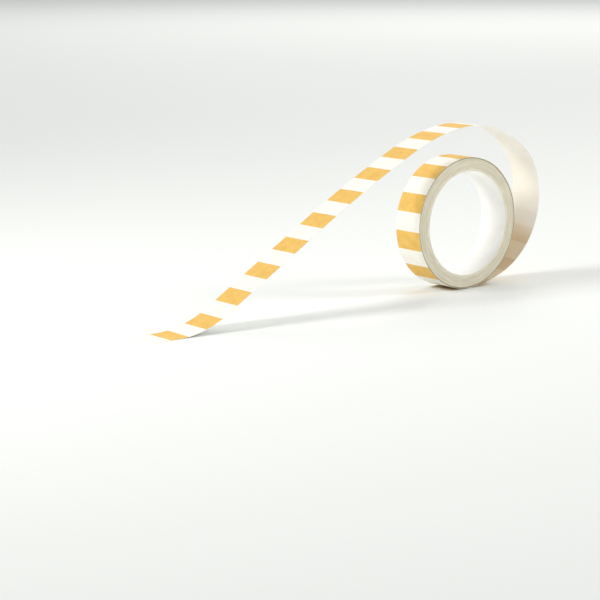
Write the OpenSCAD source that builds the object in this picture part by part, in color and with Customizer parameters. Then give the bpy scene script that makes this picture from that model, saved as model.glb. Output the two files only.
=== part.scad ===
// Roll of striped decorative paper tape, standing on its edge with its
// outermost turn peeled off and sprung into a loop that slopes to the floor.
// Origin: centre of the core's bore. +Z is up, +Y runs along the roll's axis
// and the free end runs towards -X.

/* [Core] */
// Bore of the core
core_bore_d = 31; // [28:0.5:38]
// White paper liner inside the core
liner_t = 0.1; // [0.08:0.01:0.2]
// Each of the two grey board plies
ply_t = 0.45; // [0.3:0.05:0.7]

/* [Tape] */
// Width of the tape, which is also the height of the roll
tape_w = 10; // [6:0.5:15]
// Backing paper
paper_t = 0.06; // [0.04:0.01:0.1]
// Adhesive coat on the backing paper's inner side
adhesive_t = 0.02; // [0.015:0.005:0.04]
// Printed ink on the backing paper's outer side
ink_t = 0.02; // [0.015:0.005:0.04]
// Hairline under the ink on the roll, where it sits on the paper's fibres
ink_lift = 0.01; // [0.01:0.005:0.02]
// Depth of the turns wound below the outermost one
wound_depth = 3; // [1:0.1:8]

/* [Print] */
// Length of a gold band along the tape
gold_l = 5.7; // [3:0.1:9]
// Length of the off-white band between two gold ones
white_l = 5.7; // [3:0.1:9]
// Off-white length between the tape's cut end and the first gold band
tip_white_l = 5.3; // [1:0.1:9]

/* [Free end] */
// Where the free end leaves the roll, anticlockwise from +X
peel_angle = 271; // [270.5:0.5:285]
// Room between the roll and the free end where it leaves
peel_gap = 0.05; // [0.03:0.01:0.1]
// Length that lies flat on the floor
flat_l = 7; // [3:0.5:20]
// How far the free end drifts to the front on its way round the loop
drift = 4.6; // [0:0.1:6]
// Greatest sideways lean of the tape where it comes over the crown
lean = 3.5; // [0:0.5:18]
// Greatest lean to the other side, on the way up the loop
counter_lean = 8.5; // [0:0.5:12]
// Gap between two sections of the free end, where it flexes
flex_gap = 0.2; // [0.1:0.05:0.4]

/* [Hidden] */
$fn = 180;

GOLD = [0.93, 0.76, 0.42];
PAPER = [0.99, 0.98, 0.95];
ADHESIVE = [0.97, 0.95, 0.89];
BOARD = [0.74, 0.71, 0.62];
LINER = [0.98, 0.97, 0.95];
EDGES = [0.80, 0.77, 0.69];

// Radii of the roll's layers, from the bore outwards.
bore_r = core_bore_d / 2;
liner_r = bore_r + liner_t;
inner_ply_r = liner_r + ply_t;
core_r = inner_ply_r + ply_t;
wound_r = core_r + wound_depth;
adhesive_r = wound_r + adhesive_t;
paper_r = adhesive_r + paper_t;
ink_r = paper_r + ink_lift;
roll_r = ink_r + ink_t;

// The free end's layers, measured outwards from its adhesive face.
ADHESIVE_LAYER = [0, adhesive_t];
PAPER_LAYER = [adhesive_t, adhesive_t + paper_t];
INK_LAYER = [adhesive_t + paper_t, adhesive_t + paper_t + ink_t];

// The route of the adhesive face, seen from the front. It starts on the
// underside of the roll, where the ink is what touches the floor.
route_r = roll_r + peel_gap;
floor_z = -(route_r + INK_LAYER[1]);
start = route_r * [cos(peel_angle), sin(peel_angle)];
start_heading = peel_angle - 270;

// Each leg is an arc: its length in roll radii, because the tape keeps the
// curl that the roll gave it, and how far it turns anticlockwise.
curl = [[0.84, 28.5], [2.33, 115.5], [1.41, 44.5], [0.94, 16.5], [1.82, 5.5]];
landing_l = 0.9 * roll_r;
curl_legs = [for (leg = curl) [leg[0] * roll_r, leg[1]]];

function bow(turn) = abs(turn) < 0.001 ? 1 : sin(turn / 2) / (turn / 2 * PI / 180);
function step(leg, heading) =
  leg[0] * bow(leg[1]) * [cos(heading + leg[1] / 2), sin(heading + leg[1] / 2)];
// Lists the [distance, point, heading] at the start of each leg and at the end.
function marks(legs, point, heading) = [
  for (i = 0, s = 0, p = point, h = heading;
       i <= len(legs);
       s = i < len(legs) ? s + legs[i][0] : s,
       p = i < len(legs) ? p + step(legs[i], h) : p,
       h = i < len(legs) ? h + legs[i][1] : h,
       i = i + 1)
    [s, p, h]
];

// The slope is straight, and as long as it takes to come down to the floor.
slope_start = marks(curl_legs, start, start_heading)[len(curl)];
landing = [landing_l, 180 - slope_start[2]];
slope_drop = slope_start[1][1] + step(landing, slope_start[2])[1] - floor_z;
slope_l = slope_drop / -sin(slope_start[2]);
legs = concat(curl_legs, [[slope_l, 0], landing, [flat_l, 0]]);
route = marks(legs, start, start_heading);
tape_l = route[len(legs)][0];

// The drift and both leans happen on the way round the loop.
drift_from = 0.35 * roll_r;
drift_to = 4.55 * roll_r;
lean_span = [2.95 * roll_r, 4.05 * roll_r];
counter_lean_span = [0.2 * roll_r, 3.35 * roll_r];

// Where the free end flexes, as distances along it.
loop_s = 2.05 * roll_r;
upper_slope_s = 4.7 * roll_r;
tip_s = route[6][0];
lower_slope_s = (upper_slope_s + tip_s) / 2;

function clamp(v) = max(0, min(1, v));
function leg_at(s, i = 0) = i + 1 < len(legs) && s > route[i + 1][0] ? leg_at(s, i + 1) : i;
function part_leg(s, i) =
  let (share = (s - route[i][0]) / legs[i][0]) [legs[i][0] * share, legs[i][1] * share];
function heading_at(s) = let (i = leg_at(s)) route[i][2] + part_leg(s, i)[1];
function flat_point(s) =
  let (i = leg_at(s)) route[i][1] + step(part_leg(s, i), route[i][2]);
function drift_share(s) = clamp((s - drift_from) / (drift_to - drift_from));
function drift_at(s) = let (t = drift_share(s)) -drift * t * t * (3 - 2 * t);
function skew_at(s) =
  let (t = drift_share(s)) atan(-6 * drift * t * (1 - t) / (drift_to - drift_from));
function swell(s, span) = pow(sin(180 * clamp((s - span[0]) / (span[1] - span[0]))), 2);
function lean_at(s) =
  lean * swell(s, lean_span) - counter_lean * swell(s, counter_lean_span);

// One cross-section of a layer: the front and back edge, inside and outside.
function section(s, layer) =
  let (
    h = heading_at(s), p = flat_point(s), skew = skew_at(s), b = lean_at(s),
    across = [-sin(skew) * cos(h), cos(skew), -sin(skew) * sin(h)],
    out = [sin(h), 0, -cos(h)],
    half = (across * cos(b) + out * sin(b)) * tape_w / 2,
    rise = out * cos(b) - across * sin(b),
    centre = [p[0], drift_at(s), p[1]]
  )
  [for (depth = layer) for (side = [-1, 1]) centre + side * half + depth * rise];

// Cross-sections stand at the bands' edges and evenly between them.
band_steps = 4;
period = gold_l + white_l;
function periods(length) = ceil(length / period);
stations = [
  for (k = [periods(tape_l) : -1 : -1]) let (band = tip_white_l + k * period) each concat(
    [for (i = [band_steps : -1 : 1]) tape_l - band - gold_l - white_l * i / band_steps],
    [for (i = [band_steps : -1 : 1]) tape_l - band - gold_l * i / band_steps]
  )
];
function stations_in(from, to) =
  concat([from], [for (s = stations) if (s > from + 0.01 && s < to - 0.01) s], [to]);

module layer_strip(from, to, layer) {
  sections = [for (s = stations_in(from, to)) section(s, layer)];
  last = 4 * (len(sections) - 1);
  // Corners 0 and 1 are the inner edge, 2 and 3 the outer one.
  ring = [0, 1, 3, 2];
  walls = [
    for (j = [0 : len(sections) - 2]) for (k = [0 : 3])
      let (a = 4 * j + ring[k], b = 4 * j + ring[(k + 1) % 4])
      // The inner and outer faces share one diagonal, so stacked layers match.
      each k == 2 ? [[a, b, b + 4], [a, b + 4, a + 4]] : [[a, b, a + 4], [b, b + 4, a + 4]]
  ];
  polyhedron(
    [for (ends = sections) each ends],
    concat(walls, [[0, 2, 3, 1], [last, last + 1, last + 3, last + 2]]),
    convexity = 4
  );
}

module section_layer(from, to, layer) {
  layer_strip(from + flex_gap / 2, to - flex_gap / 2, layer);
}

// The gold bands between two distances, counted from the tape's cut end.
module section_bands(from, to) {
  for (k = [0 : periods(tape_l)]) {
    band_to = tape_l - tip_white_l - k * period;
    low = max(from + flex_gap / 2, band_to - gold_l);
    high = min(to - flex_gap / 2, band_to);
    if (high - low > flex_gap) layer_strip(low, high, INK_LAYER);
  }
}

// A ring about the roll's axis.
module ring(inner_r, outer_r, angle = 360) {
  rotate([90, 0, 0]) translate([0, 0, -tape_w / 2])
    rotate_extrude(angle = angle) translate([inner_r, 0]) square([outer_r - inner_r, tape_w]);
}

module core_liner() { color(LINER) ring(bore_r, liner_r); }
module core_inner_ply() { color(BOARD) ring(liner_r, inner_ply_r); }
module core_outer_ply() { color(BOARD) ring(inner_ply_r, core_r); }
module wound_turns() { color(EDGES) ring(core_r, wound_r); }
module outer_turn_adhesive() { color(ADHESIVE) ring(wound_r, adhesive_r); }
module outer_turn_paper() { color(PAPER) ring(adhesive_r, paper_r); }

// The bands run on from the free end, round the roll from the peel.
module outer_turn_gold_bands() {
  degrees = 180 / (PI * paper_r);
  used = tape_l - tip_white_l;
  first = ceil(used / period) - 1;
  turn_l = 2 * PI * paper_r;
  color(GOLD)
    for (k = [first : first + ceil(turn_l / period)]) {
      near = max(0, k * period - used);
      far = min(turn_l, k * period + gold_l - used);
      if (far - near > flex_gap)
        rotate([0, far * degrees - peel_angle, 0]) ring(ink_r, roll_r, (far - near) * degrees);
    }
}

module peel_paper() { color(PAPER) section_layer(0, loop_s, PAPER_LAYER); }
module peel_adhesive() { color(ADHESIVE) section_layer(0, loop_s, ADHESIVE_LAYER); }
module peel_gold_bands() { color(GOLD) section_bands(0, loop_s); }

module loop_paper() { color(PAPER) section_layer(loop_s, upper_slope_s, PAPER_LAYER); }
module loop_adhesive() { color(ADHESIVE) section_layer(loop_s, upper_slope_s, ADHESIVE_LAYER); }
module loop_gold_bands() { color(GOLD) section_bands(loop_s, upper_slope_s); }

module upper_slope_paper() {
  color(PAPER) section_layer(upper_slope_s, lower_slope_s, PAPER_LAYER);
}
module upper_slope_adhesive() {
  color(ADHESIVE) section_layer(upper_slope_s, lower_slope_s, ADHESIVE_LAYER);
}
module upper_slope_gold_bands() { color(GOLD) section_bands(upper_slope_s, lower_slope_s); }

module lower_slope_paper() { color(PAPER) section_layer(lower_slope_s, tip_s, PAPER_LAYER); }
module lower_slope_adhesive() {
  color(ADHESIVE) section_layer(lower_slope_s, tip_s, ADHESIVE_LAYER);
}
module lower_slope_gold_bands() { color(GOLD) section_bands(lower_slope_s, tip_s); }

module tip_paper() { color(PAPER) section_layer(tip_s, tape_l, PAPER_LAYER); }
module tip_adhesive() { color(ADHESIVE) section_layer(tip_s, tape_l, ADHESIVE_LAYER); }
module tip_gold_bands() { color(GOLD) section_bands(tip_s, tape_l); }

core_liner();
core_inner_ply();
core_outer_ply();
wound_turns();
outer_turn_adhesive();
outer_turn_paper();
outer_turn_gold_bands();
peel_paper();
peel_adhesive();
peel_gold_bands();
loop_paper();
loop_adhesive();
loop_gold_bands();
upper_slope_paper();
upper_slope_adhesive();
upper_slope_gold_bands();
lower_slope_paper();
lower_slope_adhesive();
lower_slope_gold_bands();
tip_paper();
tip_adhesive();
tip_gold_bands();
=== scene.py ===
"""A roll of striped paper tape standing upright, with its free end sprung into a loop and laid on the floor.

Everything is in metres, in the CAD model's frame: the origin is the centre of the core's bore, +Y runs along
the roll's axis, +Z is up and the free end runs towards -X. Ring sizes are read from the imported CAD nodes. The
free end's route repeats the part's own curl, so its sheets lie where the CAD solids lie.
"""

import math

import bpy
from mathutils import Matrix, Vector, noise


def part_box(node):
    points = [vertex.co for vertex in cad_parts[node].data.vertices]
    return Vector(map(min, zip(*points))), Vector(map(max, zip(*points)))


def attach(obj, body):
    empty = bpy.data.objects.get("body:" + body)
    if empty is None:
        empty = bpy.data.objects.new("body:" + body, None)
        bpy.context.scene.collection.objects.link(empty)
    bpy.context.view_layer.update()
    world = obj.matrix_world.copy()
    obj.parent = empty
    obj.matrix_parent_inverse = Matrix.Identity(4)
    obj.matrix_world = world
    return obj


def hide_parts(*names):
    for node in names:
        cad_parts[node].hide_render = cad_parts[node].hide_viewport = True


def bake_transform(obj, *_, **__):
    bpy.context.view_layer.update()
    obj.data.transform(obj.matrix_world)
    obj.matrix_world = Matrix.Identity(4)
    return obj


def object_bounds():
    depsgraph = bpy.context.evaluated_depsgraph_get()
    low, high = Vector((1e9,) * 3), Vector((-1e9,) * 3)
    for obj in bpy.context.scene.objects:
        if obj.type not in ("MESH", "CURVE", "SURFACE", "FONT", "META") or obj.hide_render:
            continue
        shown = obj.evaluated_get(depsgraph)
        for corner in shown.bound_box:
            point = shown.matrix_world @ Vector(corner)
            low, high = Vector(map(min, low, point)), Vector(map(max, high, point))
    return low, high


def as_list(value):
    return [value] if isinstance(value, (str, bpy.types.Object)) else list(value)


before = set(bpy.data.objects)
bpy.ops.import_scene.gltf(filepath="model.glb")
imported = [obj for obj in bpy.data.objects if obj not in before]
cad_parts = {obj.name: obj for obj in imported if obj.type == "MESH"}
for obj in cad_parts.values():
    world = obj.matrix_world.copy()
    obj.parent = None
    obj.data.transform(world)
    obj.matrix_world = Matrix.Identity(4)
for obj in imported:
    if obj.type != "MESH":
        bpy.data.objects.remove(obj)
cad_low, cad_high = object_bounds()

MM = 0.001
TINY = 1e-6


# ---------------------------------------------------------------- sizes

def ring_radii(name):
    """Inner and outer radius, about the roll's axis, of a CAD node that is a ring."""
    radii = [math.hypot(v.co.x, v.co.z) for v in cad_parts[name].data.vertices]
    return min(radii), max(radii)


BORE_R, LINER_R = ring_radii("core_liner")
INNER_PLY_R = ring_radii("core_inner_ply")[1]
CORE_R = ring_radii("core_outer_ply")[1]
WOUND_R = ring_radii("wound_turns")[1]
ADHESIVE_R = ring_radii("outer_turn_adhesive")[1]
PAPER_R = ring_radii("outer_turn_paper")[1]
ROLL_R = ring_radii("outer_turn_gold_bands")[1]
TAPE_W = round(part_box("wound_turns")[1].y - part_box("wound_turns")[0].y, 6)
FLOOR_Z = cad_low.z

ADHESIVE_T = 0.02 * MM
PAPER_T = 0.06 * MM
INK_T = 0.02 * MM
TURN_T = ADHESIVE_T + PAPER_T

# The print, counted from the tape's cut end.
GOLD_L = 5.7 * MM
WHITE_L = 5.7 * MM
TIP_WHITE_L = 5.3 * MM
PERIOD = GOLD_L + WHITE_L

# How the tape is drawn: the longest step along it, the shortest part of a gold band that is drawn, and the
# gap left where the outermost turn comes round to its own start.
TAPE_STEP = 0.6 * MM
LEAST_BAND = 0.05 * MM
TURN_GAP = 0.02 * MM
# Faces that meet at more than this angle meet at a sharp edge.
SHARP_ANGLE = math.radians(38)


# ---------------------------------------------------------------- the free end's route

# The route is that of the adhesive face, from where the tape peels off the roll to its cut end. The peel's
# angle is about the roll's axis, from +X towards +Z.
PEEL_ANGLE = math.radians(271)
ROUTE_R = -FLOOR_Z - TURN_T - INK_T
# Each leg of the curl is an arc: its length in roll radii and how far it turns, in degrees.
CURL = [(0.84, 28.5), (2.33, 115.5), (1.41, 44.5), (0.94, 16.5), (1.82, 5.5)]
# A straight slope follows, then an arc that lands on the floor and a flat end.
LANDING_L = 0.9 * ROLL_R
FLAT_L = 7 * MM
# How far the tape drifts towards -Y, and the two distances along the route that it does so between.
DRIFT = 4.6 * MM
DRIFT_FROM, DRIFT_TO = 0.35 * ROLL_R, 4.55 * ROLL_R
# Each lean is how far the tape tips sideways, in degrees, and the two distances along the route, in roll
# radii, that it swells between.
LEANS = [(3.5, 2.95, 4.05), (-8.5, 0.2, 3.35)]


def bow(turn):
    """The length of an arc's chord, as a share of the arc's own."""
    return 1.0 if abs(turn) < TINY else math.sin(turn / 2) / (turn / 2)


def step(leg, heading):
    """The (x, z) move along a leg, which is (length, turn), that starts at this heading."""
    length, turn = leg
    reach = length * bow(turn)
    return reach * math.cos(heading + turn / 2), reach * math.sin(heading + turn / 2)


def marks(legs, x, z, heading):
    """The (distance, x, z, heading) at the start of each leg and at the end of the last."""
    found = [(0.0, x, z, heading)]
    for leg in legs:
        s, x, z, heading = found[-1]
        dx, dz = step(leg, heading)
        found.append((s + leg[0], x + dx, z + dz, heading + leg[1]))
    return found


def plan_route():
    """The free end's legs and their marks. The straight slope is as long as it takes to come down to land."""
    tangent = PEEL_ANGLE - math.radians(270)
    start = (ROUTE_R * math.cos(PEEL_ANGLE), ROUTE_R * math.sin(PEEL_ANGLE), tangent)
    curl = [(length * ROLL_R, math.radians(turn)) for length, turn in CURL]
    _, _, z, heading = marks(curl, *start)[-1]
    landing = (LANDING_L, math.pi - heading)
    drop = z + step(landing, heading)[1] - FLOOR_Z
    legs = [*curl, (drop / -math.sin(heading), 0.0), landing, (FLAT_L, 0.0)]
    return legs, marks(legs, *start)


LEGS, ROUTE = plan_route()
TAPE_L = ROUTE[-1][0]

# One place in each of the free end's sheets, as distances along it; the sheets split at print edges near midway
# between them. The tip's is where the landing begins.
TIP_S = ROUTE[len(CURL) + 1][0]
LOOP_S = 2.05 * ROLL_R
UPPER_SLOPE_S = 4.7 * ROLL_R
LOWER_SLOPE_S = (UPPER_SLOPE_S + TIP_S) / 2


def share(value, low, high):
    """How far value is from low to high, from 0 to 1."""
    return max(0.0, min(1.0, (value - low) / (high - low)))


def lean_at(s):
    """How far the tape tips sideways at distance s, in radians."""
    swells = [lean * math.sin(math.pi * share(s, low * ROLL_R, high * ROLL_R)) ** 2
              for lean, low, high in LEANS]
    return math.radians(sum(swells))


def along(s):
    """The point (x, z) and heading of the tape's adhesive face at distance s."""
    i = max(k for k in range(len(LEGS)) if k == 0 or s > ROUTE[k][0])
    begin, x, z, heading = ROUTE[i]
    part = (s - begin) / LEGS[i][0]
    dx, dz = step((LEGS[i][0] * part, LEGS[i][1] * part), heading)
    return x + dx, z + dz, heading + LEGS[i][1] * part


def cross_section(s):
    """The tape's centre and the unit vectors across it and out of its printed face, at distance s."""
    x, z, heading = along(s)
    # The drift eases in and out, and the skew is the angle that it turns the tape through.
    t = share(s, DRIFT_FROM, DRIFT_TO)
    drift = -DRIFT * t * t * (3 - 2 * t)
    skew = math.atan(-6 * DRIFT * t * (1 - t) / (DRIFT_TO - DRIFT_FROM))
    lean = lean_at(s)
    across = Vector((-math.sin(skew) * math.cos(heading), math.cos(skew),
                     -math.sin(skew) * math.sin(heading)))
    out = Vector((math.sin(heading), 0, -math.cos(heading)))
    side = across * math.cos(lean) + out * math.sin(lean)
    rise = out * math.cos(lean) - across * math.sin(lean)
    return Vector((x, drift, z)), side, rise


# ---------------------------------------------------------------- shader nodes

def node(tree, kind, settings=None, **inputs):
    """Adds a shader node. Each input is a value or the socket that feeds it. In an input's name two
    underscores stand for a space, and a name such as in1 is an input by its number."""
    made = tree.nodes.new("ShaderNode" + kind)
    for name, value in (settings or {}).items():
        setattr(made, name, value)
    for name, value in inputs.items():
        socket = made.inputs[int(name[2:])] if name[:2] == "in" else made.inputs[name.replace("__", " ")]
        if isinstance(value, bpy.types.NodeSocket):
            tree.links.new(value, socket)
        else:
            socket.default_value = value
    return made


def calc(tree, operation, first, second=0.0):
    """A Math node's result."""
    return node(tree, "Math", {"operation": operation}, in0=first, in1=second).outputs[0]


def ramp(tree, value, low, high, bottom=0.0, top=1.0):
    """Takes value smoothly from bottom at low to top at high, and holds it there."""
    return node(tree, "MapRange", {"interpolation_type": "SMOOTHSTEP"}, Value=value,
                From__Min=low, From__Max=high, To__Min=bottom, To__Max=top).outputs[0]


def mix(tree, amount, first, second):
    """The second colour mixed into the first, by an amount from 0 to 1."""
    return node(tree, "Mix", {"data_type": "RGBA"}, in0=amount, in6=first, in7=second).outputs[2]


def mottle(tree, field, dark, light, spread=0.15):
    """Dark where a noise field is low and light where it is high, within a spread of its middle."""
    return mix(tree, ramp(tree, field, 0.5 - spread, 0.5 + spread), dark, light)


def overlay(tree, mask, strength, under, over):
    """Lays one colour over another where the mask is 1, at a strength from 0 to 1."""
    return mix(tree, calc(tree, "MULTIPLY", mask, strength), under, over)


def grain(tree, point, scale, turn=0.0, detail=2.0, bend=0.0):
    """A noise field from about 0.25 to 0.75, with its own scale along each axis, in waves per metre."""
    placed = node(tree, "Mapping", Vector=point, Rotation=(0, 0, turn), Scale=scale).outputs[0]
    return node(tree, "TexNoise", Vector=placed, Scale=1.0, Detail=detail, Roughness=0.55,
                Distortion=bend).outputs[0]


def new_material(name, roughness, specular):
    """A material with a Principled shader, its tree and the shader. A pattern may take over the roughness."""
    material = bpy.data.materials.new(name)
    material.use_nodes = True
    tree = material.node_tree
    shader = tree.nodes["Principled BSDF"]
    shader.inputs["Roughness"].default_value = roughness
    shader.inputs["Specular IOR Level"].default_value = specular
    return material, tree, shader


def relief(tree, shader, height, depth):
    """Raises the surface by depth metres where height is 1."""
    bump = node(tree, "Bump", Height=height, Strength=1.0, Distance=depth)
    tree.links.new(bump.outputs[0], shader.inputs["Normal"])


def polar(tree):
    """The radius in metres, and a point made of it and the direction out from the roll's axis, so that noise
    at that point runs in rings."""
    place = node(tree, "TexCoord").outputs["Object"]
    x, _, z = node(tree, "SeparateXYZ", in0=place).outputs
    radius = calc(tree, "SQRT", calc(tree, "ADD", calc(tree, "MULTIPLY", x, x), calc(tree, "MULTIPLY", z, z)))
    point = node(tree, "CombineXYZ", in0=radius, in1=calc(tree, "DIVIDE", x, radius),
                 in2=calc(tree, "DIVIDE", z, radius))
    return radius, point.outputs[0]


def tape_uv(tree):
    """Metres along the tape from its cut end, and metres across it."""
    return node(tree, "UVMap", {"uv_map": "tape"}).outputs[0]


# ---------------------------------------------------------------- materials

def srgb(red, green, blue):
    """A display colour from 0 to 255 as a linear one with alpha."""
    def linear(v):
        v /= 255
        return v / 12.92 if v <= 0.04045 else ((v + 0.055) / 1.055) ** 2.4
    return linear(red), linear(green), linear(blue), 1.0


PAPER_DARK = srgb(243, 240, 231)
PAPER_LIGHT = srgb(249, 247, 239)
PAPER_FIBRE = srgb(238, 233, 220)
GOLD_DARK = srgb(227, 180, 88)
GOLD_LIGHT = srgb(234, 190, 100)
GOLD_FIBRE = srgb(244, 208, 132)
GOLD_PIT = srgb(246, 224, 170)
FILM_DARK = srgb(254, 252, 247)
FILM_LIGHT = srgb(254, 254, 252)
FILM_FIBRE = srgb(251, 249, 241)
FILM_PAINTED_SHADE = srgb(232, 212, 174)
FILM_BAND = srgb(205, 172, 112)
EDGE_DARK = srgb(224, 216, 192)
EDGE_LIGHT = srgb(247, 242, 225)
EDGE_RIM_SHADE = srgb(138, 108, 66)
BOARD_DARK = srgb(228, 220, 195)
BOARD_LIGHT = srgb(247, 241, 222)
BOARD_FLECK = srgb(160, 148, 120)
LINER_DARK = srgb(249, 247, 243)
LINER_LIGHT = srgb(254, 253, 250)
FLOOR_PALE = srgb(238, 240, 238)

# The paper's fibres, in three layers: the angle they lie at in radians, their width and length, and how far
# the noise may be from its middle on a fibre.
FIBRES = [
    (0.5, 0.55 * MM, 7 * MM, 0.02),
    (-0.7, 0.5 * MM, 6 * MM, 0.018),
    (1.3, 0.6 * MM, 5 * MM, 0.015),
]

# Painted shade of the roll on the adhesive is full as far along the free end as the first distance, and gone
# from the second on.
SHADE_FULL_L = 25 * MM
SHADE_END_L = 36 * MM
# How strongly the gold bands show through the adhesive, and how much darker they are painted within the painted
# shade near the roll.
BAND_SHOW = 0.03
SHADE_BAND_SHOW = 0.4


def strands(tree, point, turn, width, length, thin):
    """One layer of the paper's fibres: 1 on a fibre and 0 between."""
    field = grain(tree, point, (1 / length, 1 / width, 1), turn, detail=1.0, bend=0.6)
    off = calc(tree, "ABSOLUTE", calc(tree, "SUBTRACT", field, 0.5))
    return ramp(tree, off, low=0.0, high=thin, bottom=1.0, top=0.0)


def washi(tree, point):
    """The long crossed fibres of the paper, from 0 to 1."""
    one, two, three = [strands(tree, point, *layer) for layer in FIBRES]
    return calc(tree, "MAXIMUM", calc(tree, "MAXIMUM", one, two), three)


def print_paper():
    """Off-white washi paper on the printed side: soft crossed fibres and a faint cloudiness."""
    material, tree, shader = new_material("washi_paper", roughness=0.62, specular=0.2)
    uv = tape_uv(tree)
    fibre = washi(tree, uv)
    cloud = grain(tree, uv, scale=(260, 260, 1))
    colour = mottle(tree, cloud, PAPER_DARK, PAPER_LIGHT)
    colour = overlay(tree, fibre, 0.5, colour, PAPER_FIBRE)
    tree.links.new(colour, shader.inputs["Base Color"])
    fine = grain(tree, uv, scale=(5200, 5200, 1))
    relief(tree, shader, calc(tree, "ADD", calc(tree, "MULTIPLY", fine, 0.4), fibre), depth=0.010 * MM)
    tree.links.new(ramp(tree, fibre, low=0, high=1, bottom=0.64, top=0.52), shader.inputs["Roughness"])
    return material


def gold_print():
    """Matt gold-yellow ink: the paper's fibres show through it, and it lies a little unevenly."""
    material, tree, shader = new_material("gold_ink_print", roughness=0.6, specular=0.15)
    uv = tape_uv(tree)
    fibre = washi(tree, uv)
    cloud = grain(tree, uv, scale=(420, 300, 1), detail=4.0)
    pits = ramp(tree, grain(tree, uv, scale=(3000, 3000, 1), detail=0.0), low=0.70, high=0.76)
    colour = mottle(tree, cloud, GOLD_DARK, GOLD_LIGHT)
    colour = overlay(tree, fibre, 0.45, colour, GOLD_FIBRE)
    colour = overlay(tree, pits, 0.5, colour, GOLD_PIT)
    tree.links.new(colour, shader.inputs["Base Color"])
    relief(tree, shader, calc(tree, "SUBTRACT", fibre, calc(tree, "MULTIPLY", pits, 0.6)), depth=0.008 * MM)
    tree.links.new(ramp(tree, cloud, low=0.3, high=0.7, bottom=0.56, top=0.66), shader.inputs["Roughness"])
    return material


def print_shadow(tree, uv):
    """1 where a gold band lies on the other side of the paper, with soft edges, and 0 elsewhere."""
    position = node(tree, "SeparateXYZ", in0=uv).outputs[0]
    phase = calc(tree, "FLOORED_MODULO", calc(tree, "SUBTRACT", position, TIP_WHITE_L), PERIOD)
    soft = 0.35 * MM
    rise = ramp(tree, phase, 0.0, soft)
    fall = ramp(tree, phase, GOLD_L - soft, GOLD_L, 1.0, 0.0)
    return calc(tree, "MULTIPLY", rise, fall)


def roll_shade_mask(tree, uv):
    """1 near the roll, where painted shade of the roll lies on the adhesive, and 0 further along the free end.
    """
    position = node(tree, "SeparateXYZ", in0=uv).outputs[0]
    return ramp(tree, position, TAPE_L - SHADE_END_L, TAPE_L - SHADE_FULL_L)


def adhesive_film():
    """The tacky side: near white, faintly glossy, with painted tan shade and darker bands near the roll."""
    material, tree, shader = new_material("adhesive_film", roughness=0.36, specular=0.45)
    uv = tape_uv(tree)
    fibre = washi(tree, uv)
    cloud = grain(tree, uv, scale=(300, 300, 1), detail=3.0)
    shade_near_roll = roll_shade_mask(tree, uv)
    # Faint real show-through of the bands everywhere, painted stronger within the shade near the roll.
    band_show_and_shade = calc(tree, "ADD", calc(tree, "MULTIPLY", shade_near_roll, SHADE_BAND_SHOW), BAND_SHOW)
    colour = mottle(tree, cloud, FILM_DARK, FILM_LIGHT)
    # Painted tan shade near the roll, where the roll shades the free end.
    colour = overlay(tree, shade_near_roll, 0.7, colour, FILM_PAINTED_SHADE)
    colour = overlay(tree, print_shadow(tree, uv), band_show_and_shade, colour, FILM_BAND)
    colour = overlay(tree, fibre, 0.2, colour, FILM_FIBRE)
    tree.links.new(colour, shader.inputs["Base Color"])
    relief(tree, shader, calc(tree, "ADD", fibre, cloud), depth=0.006 * MM)
    tree.links.new(ramp(tree, cloud, low=0.3, high=0.7, bottom=0.30, top=0.44), shader.inputs["Roughness"])
    return material


def tape_edges():
    """The slit edges of the wound turns: greyish cream in fine wavy rings, with painted shade on the outermost
    turns.
    """
    material, tree, shader = new_material("wound_tape_edges", roughness=0.7, specular=0.25)
    radius, point = polar(tree)
    fine = grain(tree, point, scale=(12000, 5, 5), detail=3.0)
    broad = grain(tree, point, scale=(6500, 2.5, 2.5), detail=2.0)
    streak = calc(tree, "ADD", calc(tree, "MULTIPLY", fine, 0.5), calc(tree, "MULTIPLY", broad, 0.5))
    # Painted shade: the outermost turns are darkened towards the roll's outer edge.
    rim_shade = ramp(tree, radius, WOUND_R - 0.35 * MM, WOUND_R - 0.1 * MM)
    colour = mottle(tree, streak, EDGE_DARK, EDGE_LIGHT, spread=0.14)
    colour = overlay(tree, rim_shade, 0.85, colour, EDGE_RIM_SHADE)
    tree.links.new(colour, shader.inputs["Base Color"])
    relief(tree, shader, fine, depth=0.03 * MM)
    return material


def cut_board():
    """Pale grey-cream recycled board: flecked, and streaked round the core where it was cut."""
    material, tree, shader = new_material("grey_board_ply", roughness=0.85, specular=0.2)
    _, point = polar(tree)
    streak = grain(tree, point, scale=(5000, 5.0, 5.0), detail=3.0)
    place = node(tree, "TexCoord").outputs["Object"]
    fleck = ramp(tree, grain(tree, place, scale=(2600, 2600, 2600), detail=1.0), low=0.62, high=0.72)
    colour = mottle(tree, streak, BOARD_DARK, BOARD_LIGHT, spread=0.14)
    colour = overlay(tree, fleck, 0.4, colour, BOARD_FLECK)
    tree.links.new(colour, shader.inputs["Base Color"])
    relief(tree, shader, streak, depth=0.06 * MM)
    return material


def liner_paper():
    """Smooth white paper inside the core, with a faint calender texture."""
    material, tree, shader = new_material("white_core_liner", roughness=0.5, specular=0.4)
    place = node(tree, "TexCoord").outputs["Object"]
    cloud = grain(tree, place, scale=(180, 180, 180), detail=3.0)
    tooth = grain(tree, place, scale=(3500, 3500, 3500), detail=2.0)
    tree.links.new(mottle(tree, cloud, LINER_DARK, LINER_LIGHT), shader.inputs["Base Color"])
    relief(tree, shader, tooth, depth=0.008 * MM)
    tree.links.new(ramp(tree, cloud, low=0.3, high=0.7, bottom=0.46, top=0.58), shader.inputs["Roughness"])
    return material


PAPER = print_paper()
GOLD = gold_print()
ADHESIVE = adhesive_film()
EDGES = tape_edges()
BOARD = cut_board()
LINER = liner_paper()


# ---------------------------------------------------------------- meshes

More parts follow.
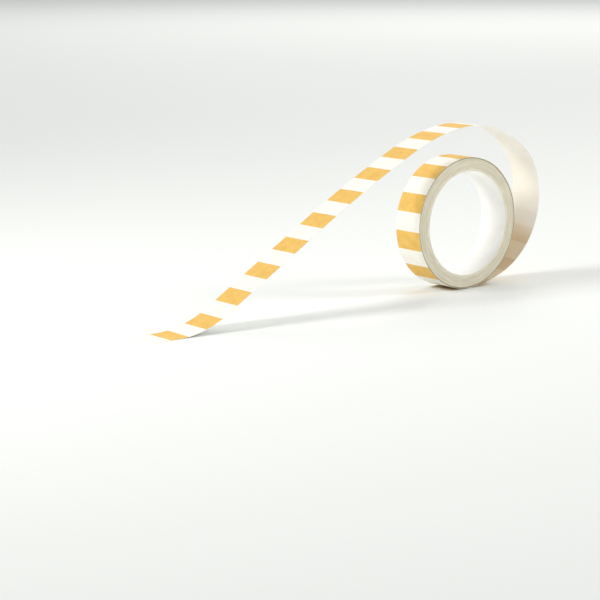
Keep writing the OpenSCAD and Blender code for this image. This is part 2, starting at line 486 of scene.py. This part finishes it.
def piece(name, parts, material, slot):
    """A mesh object, smooth but for its real edges, with its material; the slot is not used. Parts are its
    points, its faces and each point's place on the tape, in metres along and across, or None where the material
    reads no such place."""
    points, faces, uvs = parts
    mesh = bpy.data.meshes.new(name)
    mesh.from_pydata(points, [], faces)
    mesh.polygons.foreach_set("use_smooth", [True] * len(mesh.polygons))
    mesh.set_sharp_from_angle(angle=SHARP_ANGLE)
    if uvs:
        layer = mesh.uv_layers.new(name="tape")
        for loop in mesh.loops:
            layer.data[loop.index].uv = uvs[loop.vertex_index]
    mesh.materials.append(material)
    mesh.validate()
    made = bpy.data.objects.new(name, mesh)
    bpy.context.scene.collection.objects.link(made)
    return made


def slab(stations, place, columns=8):
    """The parts of a thin closed strip of tape. place(u, side, face) gives a point at u along it, where side
    runs from 0 to 1 across it, and face is 0 for the inner one and 1 for the outer one."""
    points, uvs, faces = [], [], []
    row = [(c / columns, 0) for c in range(columns + 1)] + [(c / columns, 1) for c in range(columns, -1, -1)]
    for u in stations:
        for side, face in row:
            points.append(place(u, side, face))
            uvs.append((u, (side - 0.5) * TAPE_W))
    n = len(row)
    for j in range(len(stations) - 1):
        for k in range(n):
            a, b = j * n + k, j * n + (k + 1) % n
            faces.append((a, b, b + n, a + n))
    last = (len(stations) - 1) * n
    for k in range(columns):
        ends = (k, k + 1, n - 2 - k, n - 1 - k)
        faces.append(tuple(reversed(ends)))
        faces.append(tuple(last + e for e in ends))
    return points, faces, uvs


def joined(slabs):
    """The parts of several slabs as one."""
    points, faces, uvs = [], [], []
    for more_points, more_faces, more_uvs in slabs:
        start = len(points)
        points += more_points
        uvs += more_uvs
        faces += [tuple(start + i for i in face) for face in more_faces]
    return points, faces, uvs


def evenly(low, high, most):
    """Values from low to high, no further apart than most."""
    count = max(1, math.ceil((high - low) / most - TINY))
    return [low + (high - low) * i / count for i in range(count + 1)]


def bands(low, high):
    """The (from, to) of each gold band between two distances from the cut end."""
    found = []
    k = math.floor((low - TIP_WHITE_L) / PERIOD)
    while TIP_WHITE_L + k * PERIOD < high:
        start = TIP_WHITE_L + k * PERIOD
        begin, end = max(low, start), min(high, start + GOLD_L)
        if end - begin > LEAST_BAND:
            found.append((begin, end))
        k += 1
    return found


# ---------------------------------------------------------------- the free end

# A reach each way from a sheet's hinge, passed on with the sheet; nothing bends by it.
BEND_REACH = 15 * MM


def free_point(inner, outer):
    """place() for a layer of the free end between two depths, from its adhesive face outwards."""
    def place(u, side, face):
        centre, across, rise = cross_section(TAPE_L - u)
        return centre + across * ((side - 0.5) * TAPE_W) + rise * (outer if face else inner)
    return place


def free_section(name, cad_names, bodies, held, rests_on, near, far, hinge):
    """One stretch of the free end, from near to far along it. It does not bend; the bodies and the hinge are
    not used.
    """
    low, high = TAPE_L - far, TAPE_L - near
    stations = evenly(low, high, TAPE_STEP)
    layers = [
        ("paper", [slab(stations, free_point(ADHESIVE_T, TURN_T))], PAPER, "tape_paper"),
        ("adhesive", [slab(stations, free_point(0, ADHESIVE_T))], ADHESIVE, "tape_adhesive"),
        ("gold_bands", [slab(evenly(a, b, TAPE_STEP), free_point(TURN_T, TURN_T + INK_T))
                        for a, b in bands(low, high)], GOLD, "gold_ink"),
    ]
    x, z, heading = along(hinge)
    middle = Vector((x, 0, z))
    reach = Vector((math.cos(heading), 0, math.sin(heading))) * BEND_REACH
    made = {}
    for layer, slabs, material, slot in layers:
        made[layer] = piece(f"{name}_{layer}", joined(slabs), material, slot)
        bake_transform(made[layer], *bodies, start=middle - reach, end=middle + reach)
        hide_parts(*[f"{cad}_{layer}" for cad in cad_names])
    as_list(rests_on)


def band_edge(s):
    """The distance along the free end of the print's edge nearest to s."""
    periods = math.ceil(TAPE_L / PERIOD)
    edges = [TAPE_L - TIP_WHITE_L - k * PERIOD - shift for k in range(periods) for shift in (0, GOLD_L)]
    return min(edges, key=lambda edge: abs(edge - s))


def make_free_end():
    """Four sheets, each round one of the places in flexes, though nothing bends there. They meet at edges of
    the print.
    """
    flexes = [LOOP_S, UPPER_SLOPE_S, LOWER_SLOPE_S, TIP_S]
    splits = [0, *[band_edge((a + b) / 2) for a, b in zip(flexes, flexes[1:])], TAPE_L]
    rows = [
        ("rising_loop", ("peel", "loop"), ("peel", "loop"), "stretched", ["wound_roll_turns"]),
        ("crown", ("upper_slope",), ("loop", "upper_slope"), "hung", []),
        ("slope", ("lower_slope",), ("upper_slope", "lower_slope"), "hung", []),
        ("tail", ("tip",), ("lower_slope", "tip"), "laid", []),
    ]
    for row, near, far, hinge in zip(rows, splits, splits[1:], flexes):
        free_section(*row, near, far, hinge)


# ---------------------------------------------------------------- the roll

LINER_CHAMFER = 0.02 * MM
PLY_CHAMFER = 0.03 * MM
# The most that a board's cut faces are sunk, and how fast that varies round the ring, in waves per radian.
CUT_DEPTH = 0.07 * MM
CUT_WAVES = 9
# The liner's seam: its angle at the middle of the bore, its slant in radians per metre, half the width of
# the lap, the width of the lap's sloping edge, and how proud the lap stands.
SEAM_ANGLE = math.radians(205)
SEAM_SLANT = 20
LAP_HALF_W = 0.6 * MM
LAP_EDGE_W = 0.3 * MM
LAP_T = 0.03 * MM
# The groove between two wound turns: its depth and its half width, as a share of a turn.
GROOVE_D = 0.03 * MM
GROOVE_SHARE = 0.22
# How far a wound turn's edge is moved by the slow lay of the turns and by its own, and how far all are
# set in.
SLOW_LAY = 0.05 * MM
OWN_LAY = 0.035 * MM
SET_IN = 0.05 * MM
# Waves of noise per millimetre of radius.
RADIAL_WAVES = 3
# These only make the noise on one face of the roll differ from that on the other, and OWN_SALT the turns' own
# lay from the slow one.
FRONT_CUT_SALT, BACK_CUT_SALT = 1.9, 7.3
FRONT_TURN_SALT, BACK_TURN_SALT = 8.7, 3.1
OWN_SALT = 11


def lathe(name, outline, wobble, material, slot, steps=240):
    """A closed ring about the roll's axis. outline is a closed list of (radius, y), and wobble(radius, y,
    angle) gives how far a point moves out and along the axis."""
    points, faces = [], []
    n = len(outline)
    for i in range(steps):
        angle = 2 * math.pi * i / steps
        for r, y in outline:
            out, shift = wobble(r, y, angle)
            points.append(((r + out) * math.cos(angle), y + shift, (r + out) * math.sin(angle)))
    for i in range(steps):
        for k in range(n):
            a, b = i * n + k, i * n + (k + 1) % n
            c, d = (b + n) % (steps * n), (a + n) % (steps * n)
            faces.append((a, b, c, d))
    made = piece(name, (points, faces, None), material, slot)
    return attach(made, "roll")


def tube_outline(inner, outer, chamfer, rings=3):
    """The (radius, y) outline of a tube as wide as the tape, with small chamfers and ringed cut faces."""
    half = TAPE_W / 2
    face = [inner + chamfer + (outer - inner - 2 * chamfer) * k / rings for k in range(rings + 1)]
    wall = evenly(chamfer - half, half - chamfer, 1 * MM)
    front = [(r, -half) for r in face]
    back = [(r, half) for r in reversed(face)]
    return front + [(outer, y) for y in wall] + back + [(inner, y) for y in reversed(wall)]


def ring_noise(radius, angle, waves, salt):
    """Smooth noise from about -1 to 1 that runs round the roll without a join, in waves per radian."""
    out = radius / MM * RADIAL_WAVES + salt
    return noise.noise(Vector((waves * math.cos(angle), waves * math.sin(angle), out)))


def rough_cut(r, y, angle):
    """wobble() for a board, whose cut faces are sunk a little, more in some places than in others."""
    if abs(y) < TAPE_W / 2 - TINY:
        return 0.0, 0.0
    salt = BACK_CUT_SALT if y > 0 else FRONT_CUT_SALT
    return 0.0, math.copysign(CUT_DEPTH, -y) * (0.5 + 0.5 * ring_noise(r, angle, CUT_WAVES, salt))


def liner_seam(r, y, angle):
    """wobble() for the liner, whose two edges overlap in one slanting seam."""
    seam = SEAM_ANGLE + y * SEAM_SLANT
    lap = share(abs(angle - seam) * BORE_R, LAP_HALF_W + LAP_EDGE_W, LAP_HALF_W)
    return (-LAP_T * lap if r < (BORE_R + LINER_R) / 2 else 0.0), 0.0


def turn_offset(turn, angle, salt):
    """How far one point of a wound turn's edge stands out from the roll's face. The slow lay changes little
    from turn to turn, and each turn has its own besides."""
    slow = ring_noise(turn * 0.11 * MM, angle, waves=1.6, salt=salt)
    own = ring_noise(turn * 1.7 * MM, angle, waves=2.4, salt=salt + OWN_SALT)
    return SLOW_LAY * slow + OWN_LAY * own - SET_IN


def wound_turns():
    """The turns below the outermost one, as one spiral from the core out, each laid a little unevenly."""
    per_turn = 200
    turns = round((WOUND_R - CORE_R) / TURN_T)
    pitch = (WOUND_R - CORE_R) / (turns + 1)
    count = turns * per_turn
    points, faces = [], []
    # Each step has a point in the groove between two turns, then the two corners of its own turn's edge. All
    # of the front's steps come first, then the back's.
    for salt, facing in ((FRONT_TURN_SALT, -1), (BACK_TURN_SALT, 1)):
        for k in range(count + per_turn + 1):
            angle = PEEL_ANGLE - 2 * math.pi * k / per_turn
            r = CORE_R + pitch * k / per_turn
            lift = turn_offset(k / per_turn, 2 * math.pi * k / per_turn, salt)
            for far, sunk in ((0.0, GROOVE_D), (GROOVE_SHARE, 0.0), (1 - GROOVE_SHARE, 0.0)):
                radius = r + far * pitch
                y = TAPE_W / 2 + lift - sunk
                points.append((radius * math.cos(angle), facing * y, radius * math.sin(angle)))
    back = 3 * (count + per_turn + 1)

    def corner(k, part):
        return 3 * k + part

    for base, flip in ((0, False), (back, True)):
        for k in range(count):
            columns = [(corner(k, p), corner(k + 1, p)) for p in range(3)]
            columns.append((corner(k + per_turn, 0), corner(k + 1 + per_turn, 0)))
            for (a, b), (c, d) in zip(columns, columns[1:]):
                quad = (base + a, base + b, base + d, base + c)
                faces.append(tuple(reversed(quad)) if flip else quad)
    # The spiral's inside and outside, each closed by the step where its tape starts or ends.
    inner = [corner(k, 0) for k in range(per_turn + 1)] + [corner(0, 2), corner(0, 1)]
    outer = [corner(k, 0) for k in range(count, count + per_turn + 1)] + [corner(count, 2), corner(count, 1)]
    for loop, flip in ((inner, False), (outer, True)):
        for a, b in zip(loop, loop[1:] + loop[:1]):
            quad = (a, a + back, b + back, b)
            faces.append(tuple(reversed(quad)) if flip else quad)
    # Past the last turn's end only the points in the groove belong to a face.
    used = sorted({i for face in faces for i in face})
    number = {old: new for new, old in enumerate(used)}
    faces = [tuple(number[i] for i in face) for face in faces]
    made = piece("wound_roll_turns", ([points[i] for i in used], faces, None), EDGES, "wound_tape_edges")
    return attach(made, "roll")


def round_point(inner, outer):
    """place() for a layer of the outermost turn, which runs on from the free end, clockwise from the peel."""
    def place(u, side, face):
        angle = PEEL_ANGLE - (u - TAPE_L) / PAPER_R
        r = outer if face else inner
        return Vector((r * math.cos(angle), (side - 0.5) * TAPE_W, r * math.sin(angle)))
    return place


def make_outer_turn():
    """The outermost turn: adhesive, paper and print, all the way round from the peel."""
    turn_l = 2 * math.pi * PAPER_R
    end = TAPE_L + turn_l - TURN_GAP
    stations = evenly(TAPE_L, end, TAPE_STEP)
    washi_slab = slab(stations, round_point(ADHESIVE_R, PAPER_R))
    glue_slab = slab(stations, round_point(WOUND_R, ADHESIVE_R))
    ink_slabs = [slab(evenly(a, b, TAPE_STEP), round_point(PAPER_R, ROLL_R)) for a, b in bands(TAPE_L, end)]
    paper = piece("outer_turn_washi", washi_slab, PAPER, "tape_paper")
    glue = piece("outer_turn_glue", glue_slab, ADHESIVE, "tape_adhesive")
    ink = piece("outer_turn_print", joined(ink_slabs), GOLD, "gold_ink")
    for made, layer in ((paper, "paper"), (glue, "adhesive"), (ink, "gold_bands")):
        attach(made, "roll")
        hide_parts(f"outer_turn_{layer}")


def make_roll():
    """The core, from its liner out, and the turns wound on it."""
    liner_tube = tube_outline(BORE_R, LINER_R, LINER_CHAMFER, rings=1)
    inner_tube = tube_outline(LINER_R, INNER_PLY_R, PLY_CHAMFER)
    outer_tube = tube_outline(INNER_PLY_R, CORE_R, PLY_CHAMFER)
    liner = lathe("core_liner_tube", liner_tube, liner_seam, LINER, "white_liner")
    inner = lathe("inner_board_ply", inner_tube, rough_cut, BOARD, "grey_board")
    outer = lathe("outer_board_ply", outer_tube, rough_cut, BOARD, "grey_board")
    turns = wound_turns()
    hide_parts("core_liner")
    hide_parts("core_inner_ply")
    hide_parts("core_outer_ply")
    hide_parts("wound_turns")


# ---------------------------------------------------------------- stage, lights and camera

CAMERA_AT = Vector((-358.8, -373.4, 77.4)) * MM
CAMERA_TURN = math.radians(38.681)
CAMERA_PITCH = math.radians(11.122)
# The lens and the sensor's width are in millimetres, as Blender takes them.
LENS = 104.6
SENSOR_W = 36
NEAREST, FURTHEST = 0.01, 20
FLOOR_REACH = 12.0
WARM_WHITE = (1.0, 0.985, 0.955)
SKY = (0.95, 0.96, 0.965, 1)
SKY_STRENGTH = 0.565


def make_camera():
    """The camera, a little above the tape and to the left of its axis."""
    data = bpy.data.cameras.new("camera")
    data.sensor_width = SENSOR_W
    data.lens = LENS
    data.clip_start, data.clip_end = NEAREST, FURTHEST
    camera = bpy.data.objects.new("camera", data)
    bpy.context.scene.collection.objects.link(camera)
    camera.location = CAMERA_AT
    camera.rotation_euler = (math.pi / 2 - CAMERA_PITCH, 0, -CAMERA_TURN)
    bpy.context.scene.camera = camera


def make_stage():
    """A plain pale floor that runs on far behind the tape."""
    material, _, shader = new_material("pale_floor", roughness=0.9, specular=0.1)
    shader.inputs["Base Color"].default_value = FLOOR_PALE
    corners = ((-1, -1), (1, -1), (1, 1), (-1, 1))
    mesh = bpy.data.meshes.new("floor")
    mesh.from_pydata([(x * FLOOR_REACH, y * FLOOR_REACH, FLOOR_Z) for x, y in corners], [], [(0, 1, 2, 3)])
    mesh.materials.append(material)
    floor = bpy.data.objects.new("floor", mesh)
    bpy.context.scene.collection.objects.link(floor)


def soft_light(name, place, aim, size, power, spread):
    """A square soft box at a place, facing a point, whose light keeps within the spread, in degrees."""
    data = bpy.data.lights.new(name, "AREA")
    data.shape, data.size = "SQUARE", size
    data.energy, data.color = power, WARM_WHITE
    data.spread = math.radians(spread)
    lamp = bpy.data.objects.new(name, data)
    bpy.context.scene.collection.objects.link(lamp)
    lamp.location = place
    lamp.rotation_euler = (Vector(place) - Vector(aim)).to_track_quat("Z", "Y").to_euler()


def make_lights():
    """Soft light from the camera's left and right, two lamps over the floor behind, and pale light all round.
    Colours are shown as they are, with no film look."""
    soft_light("key", place=(-0.49, 0.12, 0.36), aim=(-0.02, 0.03, 0), size=0.20, power=0.56, spread=96)
    soft_light("second", place=(0.56, -0.36, 0.44), aim=(0, 0, 0), size=0.22, power=2.0, spread=180)
    soft_light("middle", place=(0.42, 0.61, 0.9), aim=(0.42, 0.61, 0), size=0.6, power=1.2, spread=180)
    soft_light("backdrop", place=(1.6, 1.35, 1.6), aim=(1.6, 1.35, 0), size=1.2, power=18.0, spread=180)
    world = bpy.data.worlds.new("studio")
    bpy.context.scene.world = world
    world.use_nodes = True
    background = world.node_tree.nodes["Background"]
    background.inputs["Color"].default_value = SKY
    background.inputs["Strength"].default_value = SKY_STRENGTH
    bpy.context.scene.view_settings.view_transform = "Standard"


make_camera()
make_free_end()
make_roll()
make_outer_turn()
make_stage()
make_lights()
